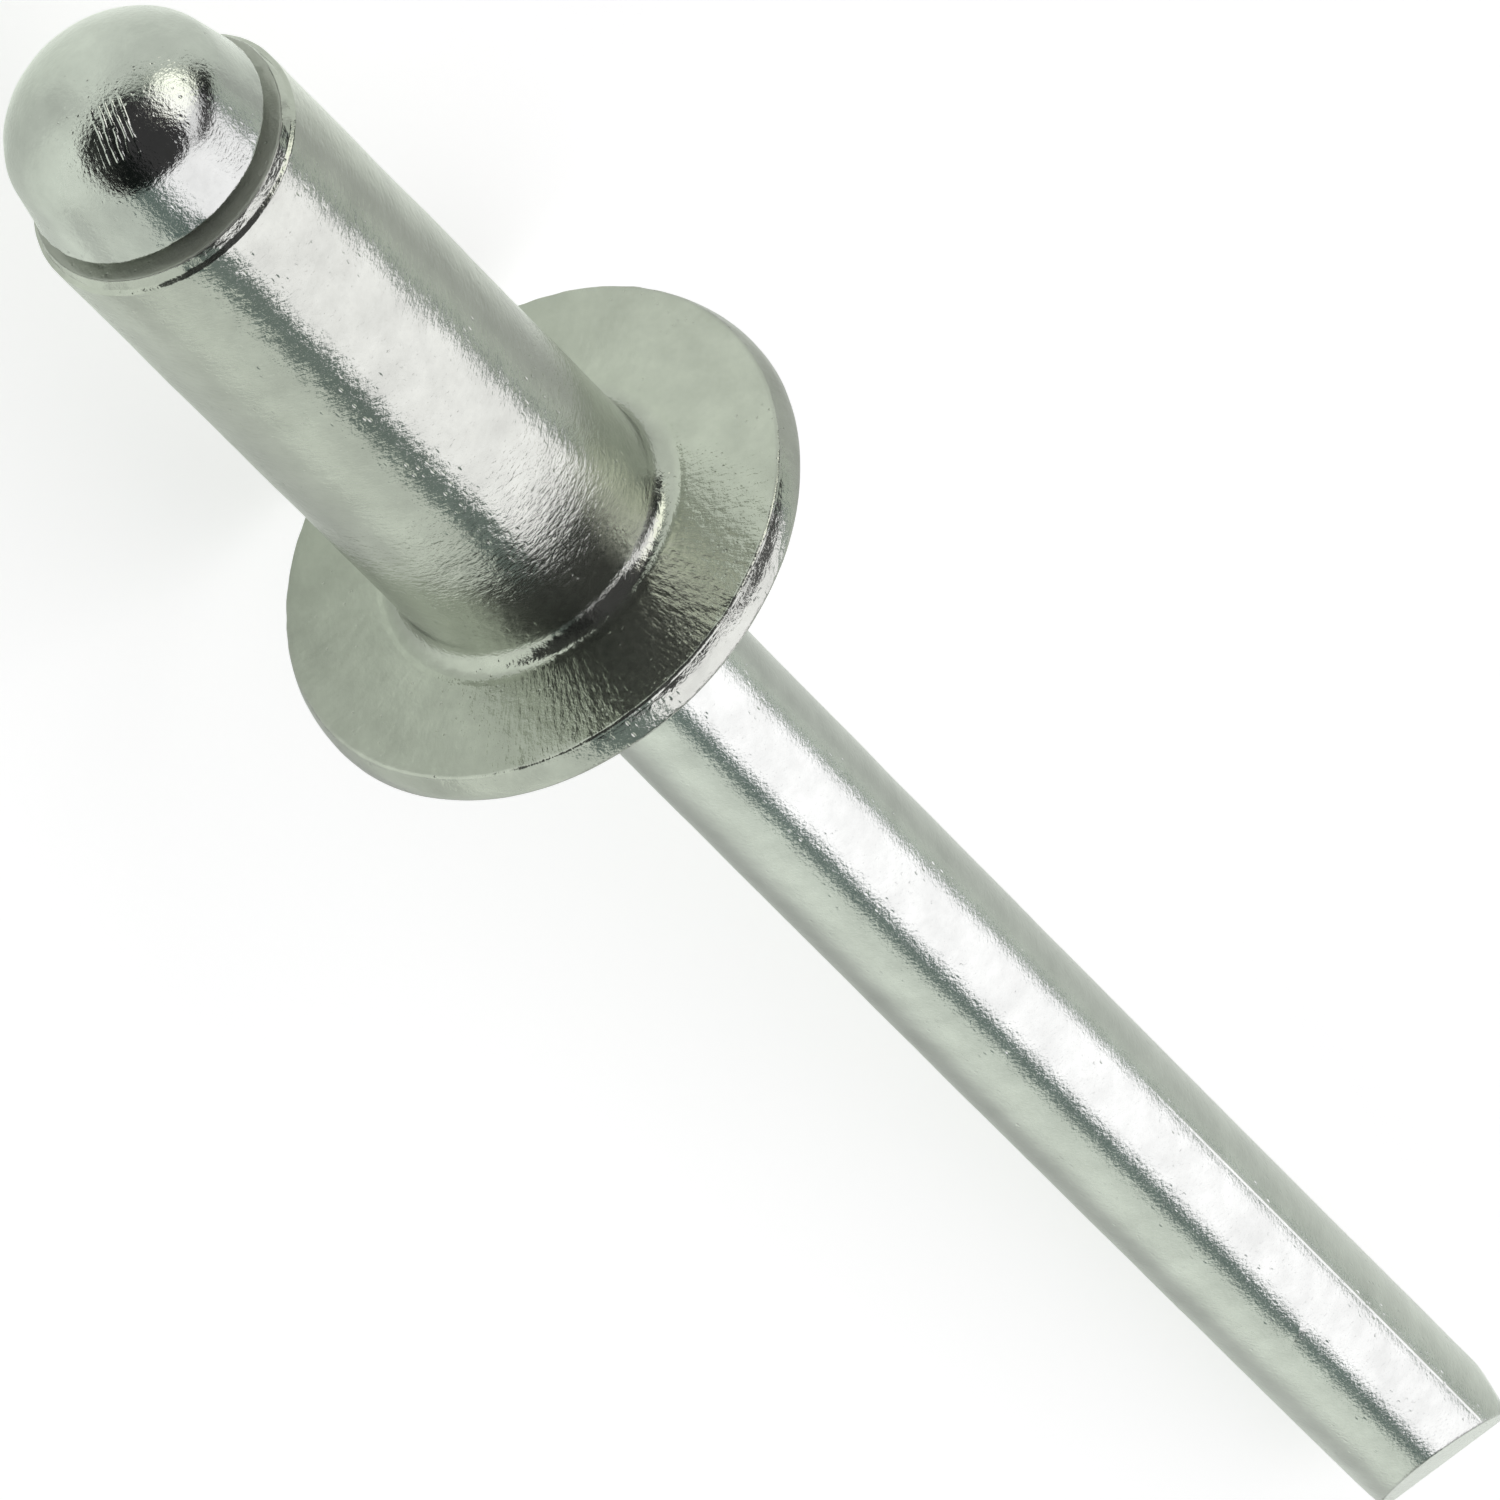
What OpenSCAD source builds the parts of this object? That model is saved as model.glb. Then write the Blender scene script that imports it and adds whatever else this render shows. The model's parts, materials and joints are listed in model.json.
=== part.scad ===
// Blind rivet with its mandrel, lying on a flat surface on the flange's rim and the mandrel's point.
// Both pieces are turned about one axis. Along it, 0 is the seat face, the mandrel's point is on the
// positive side and the blind end on the negative side.

/* [Body] */
// Outside diameter of the tube
body_d = 4.8; // [4.4:0.1:6]
// Length of the tube, from the seat face to the blind end
body_length = 11.8; // [8:0.05:14]
// Bevel round the blind end, across the axis
blind_bevel_w = 0.24; // [0.05:0.01:0.3]
// Bevel round the blind end, along the axis
blind_bevel_l = 0.24; // [0.05:0.01:0.6]
// Radius of the fillet between tube and seat face
seat_fillet_r = 0.45; // [0.05:0.01:0.6]

/* [Flange] */
// Diameter of the flange at its widest
flange_d = 9.38; // [8.4:0.02:12]
// Height of the dome over the seat face
flange_h = 1.25; // [1.15:0.05:2]
// Height of the widest circle over the seat face
rim_h = 0.48; // [0.4:0.01:0.6]
// Slope of the rim's wall away from the axis, in degrees
rim_slope = 24; // [4:1:32]
// Radius of the edge between the seat face and the rim's wall
rim_lower_r = 0.08; // [0.05:0.01:0.2]
// Radius of the edge between the rim's wall and the dome
rim_upper_r = 0.15; // [0.05:0.01:0.3]
// Radius that rounds the mouth of the bore on the dome
mouth_r = 0.15; // [0.05:0.01:0.25]

/* [Mandrel] */
// Diameter of the shank
mandrel_d = 2.9; // [2.4:0.02:3.2]
// Length of the shank, from the seat face to its point
mandrel_reach = 31.85; // [27:0.05:45]
// Clearance between shank and bore, on the radius
bore_gap = 0.08; // [0.02:0.01:0.1]

/* [Mandrel head] */
// Diameter of the head at its widest
head_d = 4.28; // [3.9:0.02:4.4]
// Height of the head over the blind end
head_h = 2.55; // [2.3:0.05:3.2]
// Height of the head's widest circle over the blind end
head_edge_h = 0.34; // [0.2:0.02:0.6]
// Radius of the dome
head_dome_r = 2.27; // [2.2:0.01:3]
// Radius between the dome and the side
head_shoulder_r = 0.2; // [0.15:0.05:0.9]
// Slope of the side towards the axis, in degrees
head_side_slope = 10; // [2:0.2:12]
// Radius of the head's lower edge
head_edge_r = 0.12; // [0.05:0.01:0.18]
// Width of the flat ring that bears on the blind end
head_bearing_w = 0.25; // [0.1:0.01:0.4]

/* [Break notch] */
// Distance of the notch from the blind end
notch_from_end = 2; // [1:0.1:6]
// Depth of the notch
notch_depth = 0.35; // [0.1:0.05:0.6]
// Width of the notch at the surface
notch_w = 0.7; // [0.3:0.05:1.2]

/* [Pinched point] */
// Angle of the two pinched faces to the axis, in degrees
pinch_angle = 36; // [28:1:50]
// Length of the edge where the two faces meet
pinch_edge = 2.5; // [2:0.05:2.8]
// Angle of the two narrow side faces to the axis, in degrees
pinch_side_angle = 8; // [4:1:20]
// Turn of the edge about the axis, in degrees
pinch_turn = 11; // [-30:1:30]

/* [Hidden] */
$fn = 96;

body_r = body_d / 2;
flange_r = flange_d / 2;
mandrel_r = mandrel_d / 2;
bore_r = mandrel_r + bore_gap;
head_r = head_d / 2;

// Largest turn and length of one straight step of an arc, in degrees and millimetres
arc_turn = 7.5;
arc_chord = 0.5;

// Centres of the two circles that round the flange's rim, and the dome that meets the upper one
rim_upper_x = flange_r - rim_upper_r;
rim_lower_in = (rim_h - rim_lower_r) * tan(rim_slope) - (rim_upper_r - rim_lower_r) / cos(rim_slope);
rim_lower_x = rim_upper_x - rim_lower_in;
dome_rise = flange_h - rim_h;
dome_r = (pow(rim_upper_x, 2) + pow(dome_rise, 2) - pow(rim_upper_r, 2)) / (2 * (dome_rise - rim_upper_r));
dome_centre = flange_h - dome_r;
dome_lean = atan2(rim_upper_x, rim_h - dome_centre);

// Centre of the circle that rounds the bore's mouth on the dome, and the way from it to where they meet
mouth_x = bore_r + mouth_r;
mouth_h = dome_centre + sqrt(pow(dome_r - mouth_r, 2) - pow(mouth_x, 2));
mouth_lean = atan2(mouth_x, mouth_h - dome_centre);

// The mandrel head's lower edge, and the slope of its underside from the bearing ring to that edge
edge_x = head_r - head_edge_r;
bearing_r = bore_r + head_bearing_w;
under_run = norm([edge_x - bearing_r, head_edge_h]);
under_slope = atan2(head_edge_h, edge_x - bearing_r) - asin(head_edge_r / under_run);

// Centre of the mandrel head's shoulder, which meets both the sloped side and the dome
head_dome_centre = head_h - head_dome_r;
side_x = edge_x + (head_edge_r - head_shoulder_r) * cos(head_side_slope);
side_h = head_edge_h + (head_edge_r - head_shoulder_r) * sin(head_side_slope) - head_dome_centre;
side_along = side_h * cos(head_side_slope) - side_x * sin(head_side_slope);
side_from_dome = pow(side_x, 2) + pow(side_h, 2) - pow(head_dome_r - head_shoulder_r, 2);
side_l = sqrt(pow(side_along, 2) - side_from_dome) - side_along;
shoulder_x = side_x - side_l * sin(head_side_slope);
shoulder_h = head_dome_centre + side_h + side_l * cos(head_side_slope);
shoulder_lean = atan2(shoulder_x, shoulder_h - head_dome_centre);

// Where the pinched faces leave the shank's underside, which rests on the surface
pinch_start = mandrel_reach - mandrel_r * cos(pinch_turn) / tan(pinch_angle);

// Lean of the axis when the rim and the point both touch the surface, and the axis's height at the seat
rest_run = pinch_start - rim_h;
rest_drop = rim_upper_x - mandrel_r;
rest_lean = atan2(rest_drop, rest_run) + asin(rim_upper_r / norm([rest_run, rest_drop]));
rest_h = rim_h * sin(rest_lean) + rim_upper_x * cos(rest_lean) + rim_upper_r;

// The ends of the part along X as it lies, measured from the seat
blind_end_x = (-body_length - head_dome_centre) * cos(rest_lean) - head_dome_r;
point_x = mandrel_reach * cos(rest_lean);

// Where the rim is drawn with this many flats, a turn of half a flat lays one of them on the surface
rim_flats = 32;
seam_turn = 180 / rim_flats;

module along_axis() {
    translate([-(blind_end_x + point_x) / 2, 0, rest_h])
    rotate([0, 90 + rest_lean, 0])
    children();
}

// Points along an arc, after its first point, as [distance from the axis, place along it]
function arc(centre, r, from, to) =
    let (steps = ceil(max(abs(to - from) / arc_turn, r * abs(to - from) * PI / 180 / arc_chord)))
    [for (i = [1:steps]) let (a = from + (to - from) * i / steps) centre + r * [cos(a), sin(a)]];

function arc_start(centre, r, from) = centre + r * [cos(from), sin(from)];

module rivet_body_profile() {
    fillet_at = [body_r + seat_fillet_r, -seat_fillet_r];
    rim_lower_at = [rim_lower_x, rim_lower_r];
    rim_upper_at = [rim_upper_x, rim_h];
    polygon(concat(
        [
            [bore_r, -body_length],
            [body_r - blind_bevel_w, -body_length],
            [body_r, blind_bevel_l - body_length],
            arc_start(fillet_at, seat_fillet_r, 180),
        ],
        arc(fillet_at, seat_fillet_r, 180, 90),
        [arc_start(rim_lower_at, rim_lower_r, -90)],
        arc(rim_lower_at, rim_lower_r, -90, -rim_slope),
        [arc_start(rim_upper_at, rim_upper_r, -rim_slope)],
        arc(rim_upper_at, rim_upper_r, -rim_slope, 90 - dome_lean),
        arc([0, dome_centre], dome_r, 90 - dome_lean, 90 - mouth_lean),
        arc([mouth_x, mouth_h], mouth_r, 90 - mouth_lean, 180)
    ));
}

module mandrel_profile() {
    notch_at = notch_from_end - body_length;
    polygon(concat(
        [[0, -body_length - head_h]],
        arc([0, -body_length - head_dome_centre], head_dome_r, -90, shoulder_lean - 90),
        arc([shoulder_x, -body_length - shoulder_h], head_shoulder_r, shoulder_lean - 90, -head_side_slope),
        [arc_start([edge_x, -body_length - head_edge_h], head_edge_r, -head_side_slope)],
        arc([edge_x, -body_length - head_edge_h], head_edge_r, -head_side_slope, 90 - under_slope),
        [
            [bearing_r, -body_length],
            [mandrel_r, -body_length],
            [mandrel_r, notch_at - notch_w / 2],
            [mandrel_r - notch_depth, notch_at],
            [mandrel_r, notch_at + notch_w / 2],
            [mandrel_r, mandrel_reach],
            [0, mandrel_reach],
        ]
    ));
}

module rivet_body() {
    color("silver")
    along_axis()
    rotate([0, 0, seam_turn])
    rotate_extrude()
    rivet_body_profile();
}

// What the pinching tool takes away beyond a face that leans towards the axis, and passes out_x from it
module pinch_cut(angle, out_x) {
    translate([out_x, 0, mandrel_reach])
    rotate([0, -angle, 0])
    translate([0, -mandrel_d, -mandrel_reach])
    cube([2 * mandrel_d, 2 * mandrel_d, 2 * mandrel_reach]);
}

module mandrel() {
    color("gainsboro")
    along_axis()
    difference() {
        rotate_extrude()
        mandrel_profile();
        rotate([0, 0, pinch_turn]) {
            for (side = [0, 180])
                rotate([0, 0, side])
                pinch_cut(pinch_angle, 0);
            for (side = [90, 270])
                rotate([0, 0, side])
                pinch_cut(pinch_side_angle, pinch_edge / 2);
        }
    }
}

rivet_body();
mandrel();
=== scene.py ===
# A blind rivet on its mandrel, lying on a pale floor under soft studio light.
import json
import math

import bmesh
import bpy
import numpy as np
from mathutils import Matrix, Vector, kdtree


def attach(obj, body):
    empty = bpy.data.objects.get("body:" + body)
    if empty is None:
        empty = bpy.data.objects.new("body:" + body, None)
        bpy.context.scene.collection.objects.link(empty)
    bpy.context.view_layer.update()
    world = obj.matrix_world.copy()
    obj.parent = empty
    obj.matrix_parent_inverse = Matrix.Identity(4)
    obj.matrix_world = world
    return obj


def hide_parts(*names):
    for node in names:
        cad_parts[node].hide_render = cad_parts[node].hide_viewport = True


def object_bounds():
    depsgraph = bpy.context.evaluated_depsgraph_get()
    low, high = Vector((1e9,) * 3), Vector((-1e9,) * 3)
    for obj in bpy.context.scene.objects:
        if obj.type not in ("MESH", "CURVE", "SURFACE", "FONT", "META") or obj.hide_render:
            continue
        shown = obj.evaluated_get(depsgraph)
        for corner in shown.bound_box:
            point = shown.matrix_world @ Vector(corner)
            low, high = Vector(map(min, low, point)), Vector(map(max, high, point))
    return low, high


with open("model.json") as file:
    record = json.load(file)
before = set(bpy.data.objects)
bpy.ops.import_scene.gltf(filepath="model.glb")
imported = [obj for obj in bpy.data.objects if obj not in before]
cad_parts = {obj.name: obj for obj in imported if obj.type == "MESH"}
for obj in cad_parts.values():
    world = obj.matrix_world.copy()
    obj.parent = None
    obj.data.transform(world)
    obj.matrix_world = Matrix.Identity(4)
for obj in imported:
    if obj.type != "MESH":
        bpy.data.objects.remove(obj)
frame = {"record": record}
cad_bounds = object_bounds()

MM = 0.001

# The rivet's own axis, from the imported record: from the seat face towards the mandrel's point
mounts = {mount["name"]: mount for mount in frame["record"]["mounts"]}
seat = Vector(mounts["flange_seat"]["pos_m"])
along = -Vector(mounts["flange_seat"]["axis"]).normalized()
across = Vector((0, 1, 0))
out = along.cross(across)
lean = math.atan2(-along.z, along.x)
rivet_to_world = Matrix.Translation(seat) @ Matrix((along, across, out)).transposed().to_4x4()

# Tube and flange, in metres along the axis from the seat face, and across it
body_r = mounts["body_pin"]["dims"]["r_mm"] * MM
body_length = 11.8 * MM
seat_fillet_r = 0.38 * MM
flange_r = 4.69 * MM
flange_h = 1.25 * MM
rim_h = 0.48 * MM
rim_lower_r = 0.08 * MM
rim_upper_r = 0.15 * MM
# The rim's wall, a shallow belly between its widest circle and the edge of the seat face
rim_belly_r = 0.95 * MM
mouth_r = 0.15 * MM
# The worn blind end: how far from the end and how far in from the tube's surface each corner lies,
# in millimetres
blind_end_steps = ((0.23, 0), (0.18, 0.07), (0.02, 0.125), (0, 0.15))
blind_end_w = 0.15 * MM
# How far each of these corners is rounded
blind_end_round = 0.02 * MM

# Mandrel
shank_r = mounts["mandrel_grip"]["dims"]["r_mm"] * MM
bore_r = shank_r + 0.08 * MM
reach = 31.85 * MM
head_r = 2.14 * MM
head_h = 2.55 * MM
head_edge_h = 0.34 * MM
head_edge_r = 0.12 * MM
head_dome_r = 2.27 * MM
head_shoulder_r = 1.0 * MM
head_side_slope = math.radians(10)
head_bearing_w = 0.25 * MM
notch_from_end = 2 * MM
notch_depth = 0.35 * MM
notch_w = 0.7 * MM
pinch_angle = math.radians(36)
pinch_side_angle = math.radians(8)
pinch_edge = 2.5 * MM
pinch_turn = math.radians(11)
# The slight bow of the shank: how far it goes to the -Y side, and half its wavelength
bow = 0.115 * MM
bow_span = 56 * MM

# Where the camera stands: its line of sight makes this angle with the rivet's axis
sight_angle = math.radians(43.9)
camera_distance = 353.7 * MM
camera_aim = 7.2 * MM
image_px = 1500
scale_px = 61.22 / MM
image_roll = math.radians(45)


def line(start, end, step):
    """Points from start to end, both included, at most step apart."""
    start, end = np.array(start), np.array(end)
    count = max(1, math.ceil(np.linalg.norm(end - start) / step))
    return [start + (end - start) * i / count for i in range(count + 1)]


def arc(centre, radius, first, last, step):
    """Points on a circle between two angles, measured from the axis towards the outside."""
    count = max(3, math.ceil(abs(last - first) * radius / step))
    angles = [first + (last - first) * i / count for i in range(count + 1)]
    return [np.array(centre) + radius * np.array([math.cos(a), math.sin(a)]) for a in angles]


def join(*stretches):
    """One outline from stretches that meet, without the doubled points."""
    points = [stretches[0][0]]
    for stretch in stretches:
        points += [p for p in stretch if np.linalg.norm(p - points[-1]) > 1e-9]
    return np.array(points)


def bend(points, size, step):
    """A line through the points, each corner rounded from size before it to size after it."""
    points = [np.array(p, dtype=float) for p in points]
    path = []
    start = points[0]
    for before, corner, after in zip(points, points[1:], points[2:]):
        enter = corner + (before - corner) * size / np.linalg.norm(before - corner)
        leave = corner + (after - corner) * size / np.linalg.norm(after - corner)
        path += line(start, enter, step)
        path += [enter * (1 - i) ** 2 + corner * 2 * i * (1 - i) + leave * i ** 2 for i in (0.25, 0.5, 0.75)]
        start = leave
    return path + line(start, points[-1], step)


def body_outline(fine, coarse):
    """Half section of tube and flange, a closed loop of (along, across) from the dome's mouth outwards."""
    belly = (rim_h, flange_r - rim_belly_r)
    belly_lean = math.asin((rim_h - rim_lower_r) / (rim_belly_r - rim_lower_r))
    rim_lower = (rim_lower_r, belly[1] + (rim_belly_r - rim_lower_r) * math.cos(belly_lean))
    rim_upper = (rim_h, flange_r - rim_upper_r)
    rise = flange_h - rim_h
    dome_r = (rim_upper[1] ** 2 + rise ** 2 - rim_upper_r ** 2) / (2 * (rise - rim_upper_r))
    dome_t = flange_h - dome_r
    dome_end = math.atan2(rim_upper[1], rim_h - dome_t)
    mouth_x = bore_r + mouth_r
    mouth_t = dome_t + math.sqrt((dome_r - mouth_r) ** 2 - mouth_x ** 2)
    mouth_lean = math.atan2(mouth_x, mouth_t - dome_t)
    quarter = math.pi / 2
    fillet = (-seat_fillet_r, body_r + seat_fillet_r)
    worn_from = (1.5 * blind_end_steps[0][0] * MM - body_length, body_r)
    worn = [(t * MM - body_length, body_r - inwards * MM) for t, inwards in blind_end_steps]
    return join(
        arc((mouth_t, mouth_x), mouth_r, -quarter, mouth_lean, fine),
        arc((dome_t, 0), dome_r, mouth_lean, dome_end, coarse),
        arc(rim_upper, rim_upper_r, dome_end, quarter, fine),
        arc(belly, rim_belly_r, quarter, quarter + belly_lean, fine),
        arc(rim_lower, rim_lower_r, quarter + belly_lean, 2 * quarter, 0.4 * fine),
        line((0, rim_lower[1]), (0, fillet[1]), coarse),
        arc(fillet, seat_fillet_r, 0, -quarter, fine),
        line((fillet[0], body_r), worn_from, coarse),
        bend([worn_from, *worn, (-body_length, bore_r)], blind_end_round, 0.5 * fine),
        line((-body_length, bore_r), (mouth_t, bore_r), 5 * coarse),
    )


def mandrel_outline(fine, coarse):
    """Half section of the mandrel as (along, across), from the middle of its head to the pinched point."""
    top = -body_length
    dome_t = top - head_h + head_dome_r
    edge = (top - head_edge_h, head_r - head_edge_r)
    side = np.array([-math.sin(head_side_slope), math.cos(head_side_slope)])
    forward = np.array([-math.cos(head_side_slope), -math.sin(head_side_slope)])
    start = np.array(edge) + side * (head_edge_r - head_shoulder_r) - np.array([dome_t, 0])
    along_side = -start @ forward
    gap = start @ start - (head_dome_r - head_shoulder_r) ** 2
    side_l = along_side + math.sqrt(along_side ** 2 - gap)
    shoulder = start + forward * side_l + np.array([dome_t, 0])
    shoulder_lean = math.atan2(shoulder[1], shoulder[0] - dome_t)
    side_lean = math.pi / 2 + head_side_slope
    bearing = bore_r + head_bearing_w
    under_lean = math.atan2(head_edge_h, edge[1] - bearing) - math.asin(
        head_edge_r / math.hypot(head_edge_h, edge[1] - bearing))
    notch = top + notch_from_end
    return join(
        arc((dome_t, 0), head_dome_r, math.pi, shoulder_lean, fine),
        arc(shoulder, head_shoulder_r, shoulder_lean, side_lean, fine),
        line(shoulder + head_shoulder_r * side, np.array(edge) + head_edge_r * side, fine),
        arc(edge, head_edge_r, side_lean, under_lean, fine),
        line(np.array(edge) + head_edge_r * np.array([math.cos(under_lean), math.sin(under_lean)]),
             (top, bearing), fine),
        line((top, bearing), (top, shank_r), fine),
        line((top, shank_r), (notch - notch_w / 2, shank_r), 3 * coarse),
        line((notch - notch_w / 2, shank_r), (notch, shank_r - notch_depth), coarse),
        line((notch, shank_r - notch_depth), (notch + notch_w / 2, shank_r), coarse),
        line((notch + notch_w / 2, shank_r), (0, shank_r), 3 * coarse),
        line((0, shank_r), (reach - 3 * shank_r, shank_r), coarse),
        line((reach - 3 * shank_r, shank_r), (reach, shank_r), fine),
    )


def soft_limit(value, limit, softness):
    """Holds value between -limit and limit, with the corner rounded."""
    over = np.abs(value) - limit
    rounded = 0.5 * (over + np.sqrt(over ** 2 + softness ** 2))
    return np.sign(value) * np.maximum(np.abs(value) - rounded, 0)


def lathe(outline, sides, closed):
    """Vertices (along, across, out), outward normals and faces of an outline turned about the axis."""
    turn = np.arange(sides) * 2 * math.pi / sides
    points = np.stack([
        np.repeat(outline[:, 0], sides),
        (outline[:, 1][:, None] * np.sin(turn)).ravel(),
        (outline[:, 1][:, None] * np.cos(turn)).ravel(),
    ], axis=1)
    if closed:
        slope = np.roll(outline, -1, axis=0) - np.roll(outline, 1, axis=0)
    else:
        slope = -np.gradient(outline, axis=0)
    slope /= np.linalg.norm(slope, axis=1)[:, None]
    normals = np.stack([
        np.repeat(slope[:, 1], sides),
        (-slope[:, 0][:, None] * np.sin(turn)).ravel(),
        (-slope[:, 0][:, None] * np.cos(turn)).ravel(),
    ], axis=1)
    rings = len(outline)
    faces = []
    for ring in range(rings if closed else rings - 1):
        a, b = ring * sides, (ring + 1) % rings * sides
        faces += [(a + i, b + i, b + (i + 1) % sides, a + (i + 1) % sides) for i in range(sides)]
    return points, normals, faces


def waves(points, wavelength, seed, count=32):
    """A smooth random height at each point, about -1 to 1, that rises and falls over a wavelength."""
    random = np.random.default_rng(seed)
    direction = random.normal(size=(count, 3))
    direction /= np.linalg.norm(direction, axis=1)[:, None]
    size = 2 * math.pi / wavelength * random.uniform(0.6, 1.4, count)
    phase = random.uniform(0, 2 * math.pi, count)
    return np.sin(points @ (direction * size[:, None]).T + phase).sum(axis=1) / math.sqrt(count / 2)


def wear(points, sizes):
    """The height of several waves together, from the height, wavelength and seed of each."""
    return sum(height * waves(points, wavelength, seed) for height, wavelength, seed in sizes)


def near(points, t, r, width):
    """1 on the ring at t along the axis and r from it, falling to 0 within a few widths."""
    distance = (points[:, 0] - t) ** 2 + (np.hypot(points[:, 1], points[:, 2]) - r) ** 2
    return np.exp(-distance / width ** 2)


def dent(points, normals, places, count, size, depth, seed):
    """Presses small long dents into the points, each at one of the places."""
    random = np.random.default_rng(seed)
    tree = kdtree.KDTree(len(points))
    for index, point in enumerate(points):
        tree.insert(point, index)
    tree.balance()
    for centre in random.choice(np.flatnonzero(places), count):
        width = size * random.uniform(0.5, 1.4)
        length = random.uniform(1, 3)
        push = depth * random.uniform(-0.35, 1)
        line_of_dent = np.cross(normals[centre], random.normal(size=3))
        line_of_dent /= np.linalg.norm(line_of_dent)
        hit = [index for _, index, _ in tree.find_range(points[centre], 2.2 * width * length)]
        offset = points[hit] - points[centre]
        lengthways = offset @ line_of_dent
        spread = (offset ** 2).sum(axis=1) - lengthways ** 2 * (1 - 1 / length ** 2)
        points[hit] -= normals[hit] * (push * np.exp(-spread / width ** 2))[:, None]


def make_piece(name, points, faces, node, material):
    """A smooth mesh from points along the rivet's axis, in place of a node of the frame."""
    mesh = bpy.data.meshes.new(name)
    turned = points @ np.array(rivet_to_world.to_3x3()).T + np.array(seat)
    # The last hundredths that waves and true circles reach past the CAD's box are held at it
    turned = np.clip(turned, np.array(cad_bounds[0]), np.array(cad_bounds[1]))
    form = bmesh.new()
    corners = [form.verts.new(p) for p in turned.tolist()]
    for face in faces:
        form.faces.new([corners[i] for i in face])
    bmesh.ops.remove_doubles(form, verts=form.verts, dist=0.0005 * MM)
    bmesh.ops.recalc_face_normals(form, faces=form.faces)
    form.to_mesh(mesh)
    form.free()
    piece = bpy.data.objects.new(name, mesh)
    bpy.context.scene.collection.objects.link(piece)
    mesh.shade_smooth()
    mesh.materials.append(material)
    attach(piece, "root")
    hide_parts(node)
    return piece


class Nodes:
    """Short forms for making and linking shader nodes."""

    def __init__(self, tree):
        self.tree = tree

    def add(self, kind, inputs=(), **settings):
        node = self.tree.nodes.new(kind)
        for key, value in settings.items():
            setattr(node, key, value)
        for key, value in dict(inputs).items():
            if isinstance(value, bpy.types.NodeSocket):
                self.tree.links.new(value, node.inputs[key])
            else:
                node.inputs[key].default_value = value
        return node

    def math(self, operation, *values):
        return self.add("ShaderNodeMath", enumerate(values), operation=operation).outputs[0]

    def dot(self, vector, direction):
        inputs = {0: vector, 1: direction}
        return self.add("ShaderNodeVectorMath", inputs, operation="DOT_PRODUCT").outputs["Value"]

    def noise(self, vector, scale, detail=2.0, roughness=0.5):
        return self.add("ShaderNodeTexNoise", {
            "Vector": vector, "Scale": scale, "Detail": detail, "Roughness": roughness}).outputs[0]

    def parts(self, vector):
        return self.add("ShaderNodeSeparateXYZ", {0: vector}).outputs

    def stretch(self, vector, scale):
        return self.add("ShaderNodeVectorMath", {0: vector, 1: scale}, operation="MULTIPLY").outputs[0]

    def spread(self, value, low, high, to_low, to_high):
        return self.add("ShaderNodeMapRange", {
            "Value": value,
            "From Min": low, "From Max": high,
            "To Min": to_low, "To Max": to_high,
        }).outputs[0]

    def by_angle(self, value, low, high, to_low, to_high):
        """The same as spread, with low and high in degrees."""
        return self.spread(value, math.radians(low), math.radians(high), to_low, to_high)

    def by_mm(self, value, low, high, to_low, to_high):
        """The same as spread, with low and high in millimetres."""
        return self.spread(value, low * MM, high * MM, to_low, to_high)

    def bump(self, height, depth, below=None):
        inputs = {"Height": height, "Distance": depth, "Strength": 1.0}
        if below is not None:
            inputs["Normal"] = below
        return self.add("ShaderNodeBump", inputs).outputs[0]


# The slow change of tone: how many swells per millimetre, and where in them the darkest and the lightest
# tone are reached, each with its share of the colour
clouds_per_mm = 1.1
cloud_tones = ((0.3, 0.88), (0.7, 1.07))
# Nicks: how many per millimetre along, across and out, their size in their cells, and how much rougher
# they are
nicks_per_mm = (3.2, 7, 7)
nick_size = 0.22
nick_rough = 0.15


def make_metal(name, colour, rough, grain, grain_depth, nick_depth):
    """Bright aluminium: rough is (least, most), grain the flecks per millimetre (along, across, out)."""
    material = bpy.data.materials.new(name)
    material.use_nodes = True
    shader = material.node_tree.nodes["Principled BSDF"]
    shader.inputs["Metallic"].default_value = 1
    n = Nodes(material.node_tree)
    here = n.add("ShaderNodeTexCoord").outputs["Object"]
    # Places in millimetres along the rivet's own axes
    place = n.add("ShaderNodeMapping", {
        "Vector": here, "Location": tuple(seat), "Rotation": (0, lean, 0), "Scale": (MM, MM, MM)},
        vector_type="TEXTURE").outputs[0]
    cloud = n.noise(place, clouds_per_mm, 4.0, 0.65)
    tint = n.add("ShaderNodeValToRGB", {"Fac": cloud})
    for stop, (position, share) in zip(tint.color_ramp.elements, cloud_tones):
        stop.position = position
        stop.color = (colour[0] * share, colour[1] * share, colour[2] * share, 1)
    fleck = n.noise(n.stretch(place, grain), 1.0, 3.0, 0.6)
    fine = n.bump(fleck, grain_depth)
    # Nicks: the hearts of cells, long and thin, and only where a slow noise is high
    cells = n.add("ShaderNodeTexVoronoi", {
        "Vector": n.stretch(place, nicks_per_mm), "Scale": 1.0, "Randomness": 1.0}, feature="F1")
    struck = n.spread(n.noise(place, 0.8, 1.0), 0.44, 0.58, 0.0, 1.0)
    nick = n.math("MULTIPLY", n.spread(cells.outputs["Distance"], 0.0, nick_size, 1.0, 0.0), struck)
    marked = n.bump(nick, -nick_depth, fine)
    roughness = n.math("MULTIPLY_ADD", nick, nick_rough, n.spread(fleck, 0.35, 0.7, rough[0], rough[1]))
    return material, n, place, shader, tint.outputs["Color"], marked, roughness


# Marks on the seat face, which run out from the axis: how many per radian round it and per millimetre
# across it, how deep they are, and how much duller the face is
seat_marks = (26.0, 1.6)
seat_mark_depth = 0.016 * MM
seat_duller = 0.07
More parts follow.
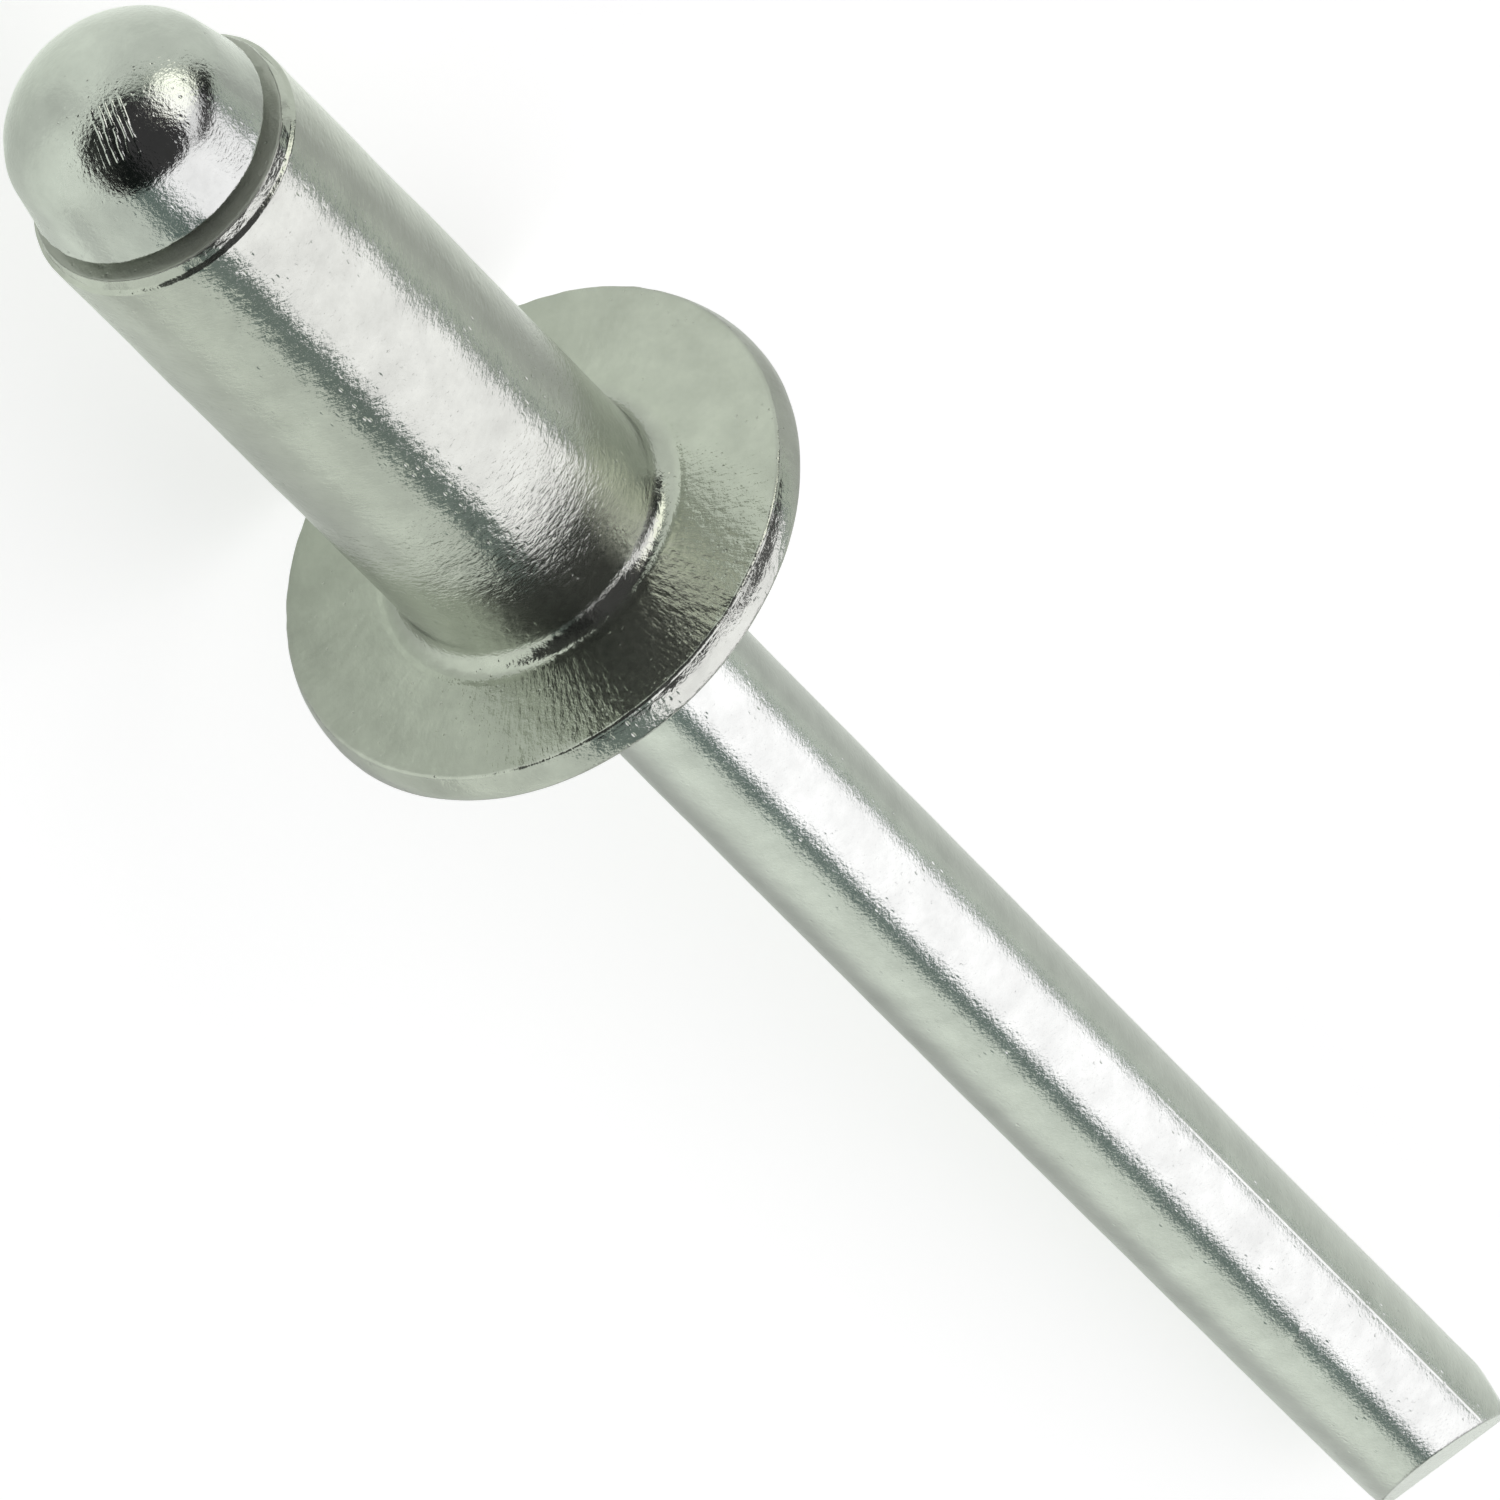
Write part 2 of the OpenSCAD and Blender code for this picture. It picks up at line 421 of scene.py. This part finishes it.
# How metallic the body is, and how metallic and how much duller the cut face of its blind end is
body_metallic, end_metallic = 0.92, 0.45
end_duller = 0.2


def body_metal():
    material, n, place, shader, base, marked, roughness = make_metal(
        "body_metal", (0.495, 0.52, 0.46), (0.09, 0.17), (11, 6, 6), 0.014 * MM, 0.008 * MM)
    t, y, z = n.parts(place)
    radius = n.math("SQRT", n.math("ADD", n.math("MULTIPLY", y, y), n.math("MULTIPLY", z, z)))
    turn = n.math("ARCTAN2", y, z)
    seat_inner = (body_r + seat_fillet_r) / MM
    on_seat = n.math("MULTIPLY", n.spread(n.math("ABSOLUTE", t), 0.03, 0.06, 1.0, 0.0),
                     n.spread(radius, seat_inner, seat_inner + 0.1, 0.0, 1.0))
    rays = n.noise(n.add("ShaderNodeCombineXYZ", {
        0: n.math("MULTIPLY", turn, seat_marks[0]),
        1: n.math("MULTIPLY", radius, seat_marks[1])}).outputs[0], 1.0, 3.0, 0.6)
    rayed = n.bump(n.math("MULTIPLY", rays, on_seat), seat_mark_depth, marked)
    duller = n.math("MULTIPLY_ADD", on_seat, seat_duller, roughness)
    end_t = -body_length / MM
    on_end = n.spread(t, end_t + 0.01, end_t + 0.03, 1.0, 0.0)
    duller = n.math("MULTIPLY_ADD", on_end, end_duller, duller)
    metallic = n.spread(on_end, 0.0, 1.0, body_metallic, end_metallic)
    n.tree.links.new(metallic, shader.inputs["Metallic"])
    n.tree.links.new(base, shader.inputs["Base Color"])
    n.tree.links.new(duller, shader.inputs["Roughness"])
    n.tree.links.new(rayed, shader.inputs["Normal"])
    return material


# Marks on the head: how the camera sees them there, how the ribs turn in the picture, and the middle
# and size of their patch, in millimetres
head_sight_angle = math.radians(46.1)
rib_turn = math.radians(24.6)
rib_spacing = 0.12
rib_along, rib_across = 1.05, 0.66
rib_middle = (-0.43, -0.404)
rib_depth = 0.011 * MM
# Painted shade on the head: its colour is this share of the shank's, so that it shows darker than the shank
head_painted_shade = 0.85
# The drawn line down the shank: how far across it lies, where it starts, over what length it comes up and
# its half width, in millimetres
drawn_line_y = 0.745
drawn_line_start = 17.85
drawn_line_fade = 3
drawn_line_w = 0.035
drawn_line_depth = 0.007 * MM


def mandrel_metal():
    material, n, place, shader, base, marked, roughness = make_metal(
        "mandrel_metal", (0.60, 0.63, 0.58), (0.07, 0.16), (15, 13, 13), 0.009 * MM, 0.007 * MM)
    t, y, z = n.parts(place)
    end_t = -body_length / MM
    # Painted shade: the head's colour is darkened to a share of the shank's
    share = n.spread(t, end_t, end_t + 0.1, head_painted_shade, 1.0)
    shaded = n.add("ShaderNodeVectorMath", {0: base, "Scale": share}, operation="SCALE").outputs[0]
    n.tree.links.new(shaded, shader.inputs["Base Color"])
    dome_t = (head_dome_r - head_h - body_length) / MM
    from_dome = n.add(
        "ShaderNodeVectorMath", {0: place, 1: (dome_t, 0, 0)}, operation="SUBTRACT").outputs[0]
    rib_c, rib_s = math.cos(rib_turn), math.sin(rib_turn)
    down_t, down_z = math.sin(head_sight_angle), math.cos(head_sight_angle)
    rib_way = (rib_c * down_t, -rib_s, rib_c * down_z)
    rib_step = (rib_s * down_t, rib_c, rib_s * down_z)
    down_rib = n.math("SUBTRACT", n.dot(from_dome, rib_way), rib_middle[0])
    over_ribs = n.dot(from_dome, rib_step)
    off_ribs = n.math("SUBTRACT", over_ribs, rib_middle[1])
    patch = n.math(
        "MULTIPLY",
        n.spread(n.math("ABSOLUTE", down_rib), 0.42 * rib_along, 0.5 * rib_along, 1.0, 0.0),
        n.spread(n.math("ABSOLUTE", off_ribs), 0.42 * rib_across, 0.5 * rib_across, 1.0, 0.0))
    wander = n.math("MULTIPLY", n.noise(n.stretch(place, (1, 3, 1)), 1.5, 2.0), 6.0)
    worn = n.spread(n.noise(place, 5.0, 2.0), 0.32, 0.55, 0.3, 1.0)
    wave = n.math("SINE", n.math("MULTIPLY_ADD", over_ribs, 2 * math.pi / rib_spacing, wander))
    crest = n.math("MULTIPLY", n.spread(wave, 0.1, 1.0, 0.0, 1.0), worn)
    ribbed = n.bump(n.math("MULTIPLY", crest, patch), rib_depth, marked)
    from_line = n.math("ABSOLUTE", n.math("SUBTRACT", y, drawn_line_y))
    on_top = n.math("MULTIPLY", n.spread(z, 0.1, 0.3, 0.0, 1.0),
                    n.spread(t, drawn_line_start, drawn_line_start + drawn_line_fade, 0.0, 1.0))
    drawn = n.math("MULTIPLY", n.spread(from_line, 0.0, drawn_line_w, 1.0, 0.0), on_top)
    n.tree.links.new(roughness, shader.inputs["Roughness"])
    n.tree.links.new(n.bump(drawn, drawn_line_depth, ribbed), shader.inputs["Normal"])
    return material


# How far the worn rim stays inside its widest circle
box_room = 0.004 * MM
# The meshes: the step along an outline at its small forms and at its long ones, and the sides all round
fine_step = 0.05 * MM
body_step, body_sides = 0.09 * MM, 300
mandrel_step, mandrel_sides = 0.08 * MM, 156
# How far round an edge its wear reaches. The edge of the seat face is this far in from the rim, and the
# edge of the tube this far from its end
wear_w, fine_wear_w = 0.12 * MM, 0.1 * MM
seat_edge_in, tube_edge_in = 0.16 * MM, 0.1 * MM
# The body is not worn nearer than this to the bore, nor the head nearer than this to the blind end
unworn = 0.1 * MM
# Waves in the worn surfaces: the height in millimetres, the wavelength and the seed of each
body_waves = ((0.004, 2.4 * MM, 1), (0.001, 0.7 * MM, 2))
edge_waves = ((0.005, 0.4 * MM, 3), (0.004, 1.6 * MM, 4))
fillet_waves = ((0.004, 0.35 * MM, 7),)
head_waves = ((0.008, 2.6 * MM, 11), (0.002, 0.8 * MM, 12))
head_edge_waves = ((0.005, 0.3 * MM, 17),)
shank_waves = ((0.002, 2.4 * MM, 13), (0.0005, 0.6 * MM, 14))
# Dents: how many, their half width, their depth and the seed of their draws
tube_dents = (500, 0.09 * MM, 0.004 * MM, 5)
body_dents = (220, 0.14 * MM, 0.006 * MM, 6)
head_dents = (120, 0.09 * MM, 0.006 * MM, 15)
shank_dents = (300, 0.07 * MM, 0.002 * MM, 16)
dome_nick = (3, 0.06 * MM, 0.012 * MM, 18)


def make_body():
    outline = body_outline(fine_step, body_step)
    points, normals, faces = lathe(outline, body_sides, True)
    radius = np.hypot(points[:, 1], points[:, 2])
    outside = radius > bore_r + unworn
    plain = points.copy()
    end_ring = near(plain, tube_edge_in - body_length, body_r - 0.5 * blind_end_w, wear_w)
    seat_edge = near(plain, 0, flange_r - seat_edge_in, fine_wear_w)
    fillet = near(plain, -0.5 * seat_fillet_r, body_r + 0.5 * seat_fillet_r, fine_wear_w)
    height = outside * wear(plain, body_waves)
    height += (end_ring + seat_edge) * wear(plain, edge_waves)
    height += fillet * wear(plain, fillet_waves)
    points += normals * (height * MM)[:, None]
    tube = outside & (plain[:, 0] < -seat_fillet_r)
    dent(points, normals, tube, *tube_dents)
    dent(points, normals, outside, *body_dents)
    # No dent or wave reaches past the rim's widest circle
    too_wide = np.maximum(np.hypot(points[:, 1], points[:, 2]) / (flange_r - box_room), 1)
    points[:, 1:] /= too_wide[:, None]
    return make_piece("rivet_body_metal", points, faces, "rivet_body", body_metal())


# Nicks on the dome: where they lie down and across the picture from its middle, in millimetres
dome_nicks = ((-1.18, 1.34), (-1.01, 1.55), (-1.92, 0.25), (-1.23, -1.20), (-0.51, -1.10), (-0.15, -1.77))
dome_nick_reach = 0.1 * MM
# The raised nick on the shank: along the axis, round it, its half length, half width and height, and
# how far it slants along the axis for each step round it
burr_t, burr_turn = 25.2 * MM, math.radians(-13)
burr_l, burr_w, burr_h = 0.22 * MM, 0.05 * MM, 0.035 * MM
burr_slant = 0.6
# How softly the pinched faces meet the round shank
pinch_soft = 0.013 * MM


def make_mandrel():
    points, normals, faces = lathe(mandrel_outline(fine_step, mandrel_step), mandrel_sides, False)
    t = points[:, 0].copy()
    plain = points.copy()
    head = t < -body_length - unworn
    shank = t > 0
    head_ring = near(plain, -body_length - head_edge_h - 0.05 * MM, head_r, wear_w)
    height = head * wear(plain, head_waves)
    height += head_ring * wear(plain, head_edge_waves)
    height += shank * wear(plain, shank_waves)
    points += normals * (height * MM)[:, None]
    dent(points, normals, head, *head_dents)
    dent(points, normals, shank, *shank_dents)
    down = np.array([math.sin(sight_angle), 0, math.cos(sight_angle)])
    to_camera = np.array([-math.cos(sight_angle), 0, math.sin(sight_angle)])
    from_dome = plain - np.array([head_dome_r - head_h - body_length, 0, 0])
    seen = head & (from_dome @ to_camera > 0)
    for place_down, place_across in dome_nicks:
        off = (from_dome @ down - place_down * MM) ** 2 + (from_dome[:, 1] - place_across * MM) ** 2
        dent(points, normals, seen & (off < dome_nick_reach ** 2), *dome_nick)
    turn = np.arctan2(plain[:, 1], plain[:, 2])
    burr = np.exp(-((t - burr_t + burr_slant * shank_r * (turn - burr_turn)) / burr_w) ** 2
                  - (shank_r * (turn - burr_turn) / burr_l) ** 2)
    points += normals * (burr_h * burr * shank)[:, None]
    c, s = math.cos(pinch_turn), math.sin(pinch_turn)
    # Across the two pinched faces, and along the edge where they meet
    through = -points[:, 1] * s + points[:, 2] * c
    edge = points[:, 1] * c + points[:, 2] * s
    left = np.maximum(reach - t, 0)
    half_thick = left * math.tan(pinch_angle)
    half_wide = pinch_edge / 2 + left * math.tan(pinch_side_angle)
    through = np.where(shank, soft_limit(through, half_thick, pinch_soft), through)
    edge = np.where(shank, soft_limit(edge, half_wide, pinch_soft), edge)
    points[:, 1] = edge * c - through * s
    points[:, 2] = edge * s + through * c
    points[:, 1] -= bow * np.sin(math.pi * (t + body_length) / bow_span) * (t > -body_length)
    return make_piece("mandrel_metal", points, faces, "mandrel", mandrel_metal())


def make_camera():
    sight = along * math.cos(sight_angle) - out * math.sin(sight_angle)
    down_axis = along * math.sin(sight_angle) + out * math.cos(sight_angle)
    right = down_axis * math.cos(image_roll) + across * math.sin(image_roll)
    up = across * math.cos(image_roll) - down_axis * math.sin(image_roll)
    data = bpy.data.cameras.new("camera")
    data.sensor_width = 36
    data.lens = data.sensor_width * scale_px * camera_distance / image_px
    data.clip_start = 0.01
    data.clip_end = 10
    camera = bpy.data.objects.new("camera", data)
    camera.matrix_world = Matrix((right, up, -sight)).transposed().to_4x4()
    camera.location = seat + along * camera_aim - sight * camera_distance
    bpy.context.scene.collection.objects.link(camera)
    bpy.context.scene.camera = camera
    return sight


sight = make_camera()


# The studio round the rivet, by angle about its axis: 0 is above it, positive to its +Y side
left_wall = (0.88, 0.92, 0.87)
left_bright = (0.98, 1.02, 0.96)
right_wall = (0.69, 0.74, 0.68)
softbox = (1.64, 1.57, 1.69)
softbox_edge = (0.27, 0.31, 0.31)
gap = (0.20, 0.25, 0.24)
studio_by_angle = (
    (-180, left_wall), (-100, left_bright), (-72, left_bright), (-58, left_wall), (-38.5, left_wall),
    (-37, gap), (-17, gap), (-11.5, softbox), (66, softbox), (68, softbox_edge), (73.5, softbox_edge),
    (76, right_wall), (150, right_wall), (180, left_wall),
)
# The dark camera and its stand, as half angles down and across the picture, and how far across it is off
camera_down, camera_across, camera_off = (math.radians(a) for a in (48, 40, -7))
camera_dark = 0.045
# The power that squares its outline
camera_square = 6.0
# The boom over the rivet. Up to boom_bend from the axis it stands at boom_turn about it, and beyond that
# it swings on, boom_swing degrees for each degree. Its half width grows over boom_widens, in degrees from
# the axis, from boom_tip_w to boom_full_w
boom_dark = 0.07
boom_bend, boom_turn, boom_tip_w, boom_full_w = (math.radians(a) for a in (82, 49, 1, 28))
boom_swing = 1.9
boom_widens = (66, 84)
# Where it starts and ends: it fades in and out between these degrees from the axis
boom_start, boom_stop = (68, 74), (112, 118)
# The room is dimmer near the end of the axis at the mandrel's point, up to these degrees from it
far_end, far_end_dim = (25, 30), 0.35
# On the blind end's side it is brighter at -90 degrees about the axis and darker at 90, which fades in
# between these degrees from the axis
near_half, near_half_gain = (85, 100), (0.16, -0.3)
# A warm light beside the camera, which the tube mirrors by way of the seat face. It fades in and out
# between degrees from the axis, and about the axis it comes up in two steps and ends
warm_light = (1.0, 0.97, 0.88, 1)
warm_start, warm_stop = (114, 120), (140, 146)
warm_side, warm_side_more, warm_side_stop = (40, 46), (65, 69), (84, 90)
warm_gain, warm_gain_more = 0.7, 1.0


def make_world():
    world = bpy.data.worlds.new("studio")
    bpy.context.scene.world = world
    world.use_nodes = True
    tree = world.node_tree
    tree.nodes.clear()
    n = Nodes(tree)
    ray = n.add("ShaderNodeTexCoord").outputs["Generated"]
    turn = n.math("ARCTAN2", n.dot(ray, across), n.dot(ray, out))
    from_axis = n.math("ARCCOSINE", n.dot(ray, along))
    place = n.math("MULTIPLY_ADD", turn, 0.5 / math.pi, 0.5)
    ramp = n.add("ShaderNodeValToRGB", {"Fac": place})
    stops = ramp.color_ramp.elements
    while len(stops) < len(studio_by_angle):
        stops.new(0.5)
    for stop, (angle, colour) in zip(stops, studio_by_angle):
        stop.position = angle / 360 + 0.5
        stop.color = (*colour, 1)
    down_picture = n.math("ARCTAN2", n.dot(ray, sight.cross(across)), n.dot(ray, -sight))
    over_picture = n.math("ARCTAN2", n.dot(ray, across), n.dot(ray, -sight))
    down_share = n.math("ABSOLUTE", n.math("DIVIDE", down_picture, camera_down))
    over_share = n.math("ABSOLUTE", n.math(
        "DIVIDE", n.math("SUBTRACT", over_picture, camera_off), camera_across))
    off_camera = n.math("ADD", n.math("POWER", down_share, camera_square),
                        n.math("POWER", over_share, camera_square))
    clear_of_camera = n.spread(off_camera, 0.85, 1.15, camera_dark, 1.0)
    nearer = n.math("MAXIMUM", n.math("SUBTRACT", from_axis, boom_bend), 0.0)
    boom_at = n.math("MULTIPLY_ADD", nearer, boom_swing, boom_turn)
    boom_w = n.by_angle(from_axis, *boom_widens, boom_tip_w, boom_full_w)
    off_boom = n.math("DIVIDE", n.math("ABSOLUTE", n.math("SUBTRACT", turn, boom_at)), boom_w)
    boom_ends = n.math("MULTIPLY", n.by_angle(from_axis, *boom_start, 0.0, 1.0),
                       n.by_angle(from_axis, *boom_stop, 1.0, 0.0))
    boom = n.math("MULTIPLY", n.spread(off_boom, 0.85, 1.1, 1.0, 0.0), boom_ends)
    clear_of_boom = n.math("MULTIPLY_ADD", boom, boom_dark - 1, 1.0)
    dimmer = n.by_angle(from_axis, *far_end, far_end_dim, 1.0)
    back = n.by_angle(from_axis, *near_half, 0.0, 1.0)
    to_side = n.by_angle(turn, -90, 90, *near_half_gain)
    brighter = n.math("MULTIPLY_ADD", back, to_side, 1.0)
    strength = n.math("MULTIPLY", n.math("MULTIPLY", clear_of_camera, clear_of_boom),
                      n.math("MULTIPLY", dimmer, brighter))
    light = n.add("ShaderNodeBackground", {"Color": ramp.outputs["Color"], "Strength": strength})
    behind = n.math("MULTIPLY", n.by_angle(from_axis, *warm_start, 0.0, 1.0),
                    n.by_angle(from_axis, *warm_stop, 1.0, 0.0))
    beside = n.math("ADD", n.by_angle(turn, *warm_side, 0.0, warm_gain),
                    n.by_angle(turn, *warm_side_more, 0.0, warm_gain_more))
    beside = n.math("MULTIPLY", beside, n.by_angle(turn, *warm_side_stop, 1.0, 0.0))
    warm_seen = n.math("MULTIPLY", behind, beside)
    warm = n.add("ShaderNodeBackground", {"Color": warm_light, "Strength": warm_seen})
    light = n.add("ShaderNodeAddShader", {0: light.outputs[0], 1: warm.outputs[0]})
    white = n.add("ShaderNodeBackground", {"Color": (1, 1, 1, 1), "Strength": 1})
    seen = n.add("ShaderNodeLightPath").outputs["Is Camera Ray"]
    mix = n.add("ShaderNodeMixShader", {0: seen, 1: light.outputs[0], 2: white.outputs[0]})
    n.add("ShaderNodeOutputWorld", {"Surface": mix.outputs[0]})


# The floor: half its size, its matt colour, what is added so that the camera sees it white, and the tint
# of the painted reflection that the metal shows of it
floor_half = 0.6
floor_colour = (0.6, 0.61, 0.59, 1)
floor_white = 0.64
floor_tint = (0.93, 1.0, 0.9, 1)
# How bright a floor the metal shows, painted into a glow that only its reflections see: from and to in
# millimetres, and the value at each. A painted pool of light makes it brightest under the blind end and
# dimmer past the flange, and it rises a little along the shank; painted shade makes it fall off to the +Y
# side, and a painted shadow makes it dimmer in a band on the -Y side
glow_at_end = (-14, -4, 0.72, 0.40)
glow_at_shank = (10, 30, 0.0, 0.12)
dim_plus_y = (2, 11, 0.0, 0.2)
dim_minus_y, dim_minus_y_stop = (-1, -4, 0.0, 0.24), (-7, -13, 1.0, 0.0)


def make_floor():
    mesh = bpy.data.meshes.new("floor")
    corners = [(x * floor_half, y * floor_half, 0) for x, y in ((-1, -1), (1, -1), (1, 1), (-1, 1))]
    mesh.from_pydata(corners, [], [(0, 1, 2, 3)])
    floor = bpy.data.objects.new("floor", mesh)
    bpy.context.scene.collection.objects.link(floor)
    material = bpy.data.materials.new("pale_floor")
    material.use_nodes = True
    tree = material.node_tree
    tree.nodes.clear()
    n = Nodes(tree)
    rays = n.add("ShaderNodeLightPath").outputs
    x, y, _ = n.parts(n.add("ShaderNodeNewGeometry").outputs["Position"])
    # Painted light and shade for the metal's reflections: the floor glows brighter or dimmer by place for
    # glossy rays
    lengthways = n.math("ADD", n.by_mm(x, *glow_at_end), n.by_mm(x, *glow_at_shank))
    plus_y = n.by_mm(y, *dim_plus_y)
    minus_y = n.math("MULTIPLY", n.by_mm(y, *dim_minus_y), n.by_mm(y, *dim_minus_y_stop))
    painted_reflection_glow = n.math("SUBTRACT", n.math("SUBTRACT", lengthways, plus_y), minus_y)
    strength = n.math("ADD", n.math("MULTIPLY", rays["Is Camera Ray"], floor_white),
                      n.math("MULTIPLY", rays["Is Glossy Ray"], painted_reflection_glow))
    matt = n.add("ShaderNodeBsdfDiffuse", {"Color": floor_colour})
    tint = n.add("ShaderNodeMix", {"Factor": rays["Is Camera Ray"], 6: floor_tint, 7: (1, 1, 1, 1)},
                 data_type="RGBA").outputs[2]
    glow = n.add("ShaderNodeEmission", {"Color": tint, "Strength": strength})
    both = n.add("ShaderNodeAddShader", {0: matt.outputs[0], 1: glow.outputs[0]})
    n.add("ShaderNodeOutputMaterial", {"Surface": both.outputs[0]})
    mesh.materials.append(material)


bpy.context.scene.view_settings.view_transform = "Standard"
make_world()
make_floor()
make_body()
make_mandrel()
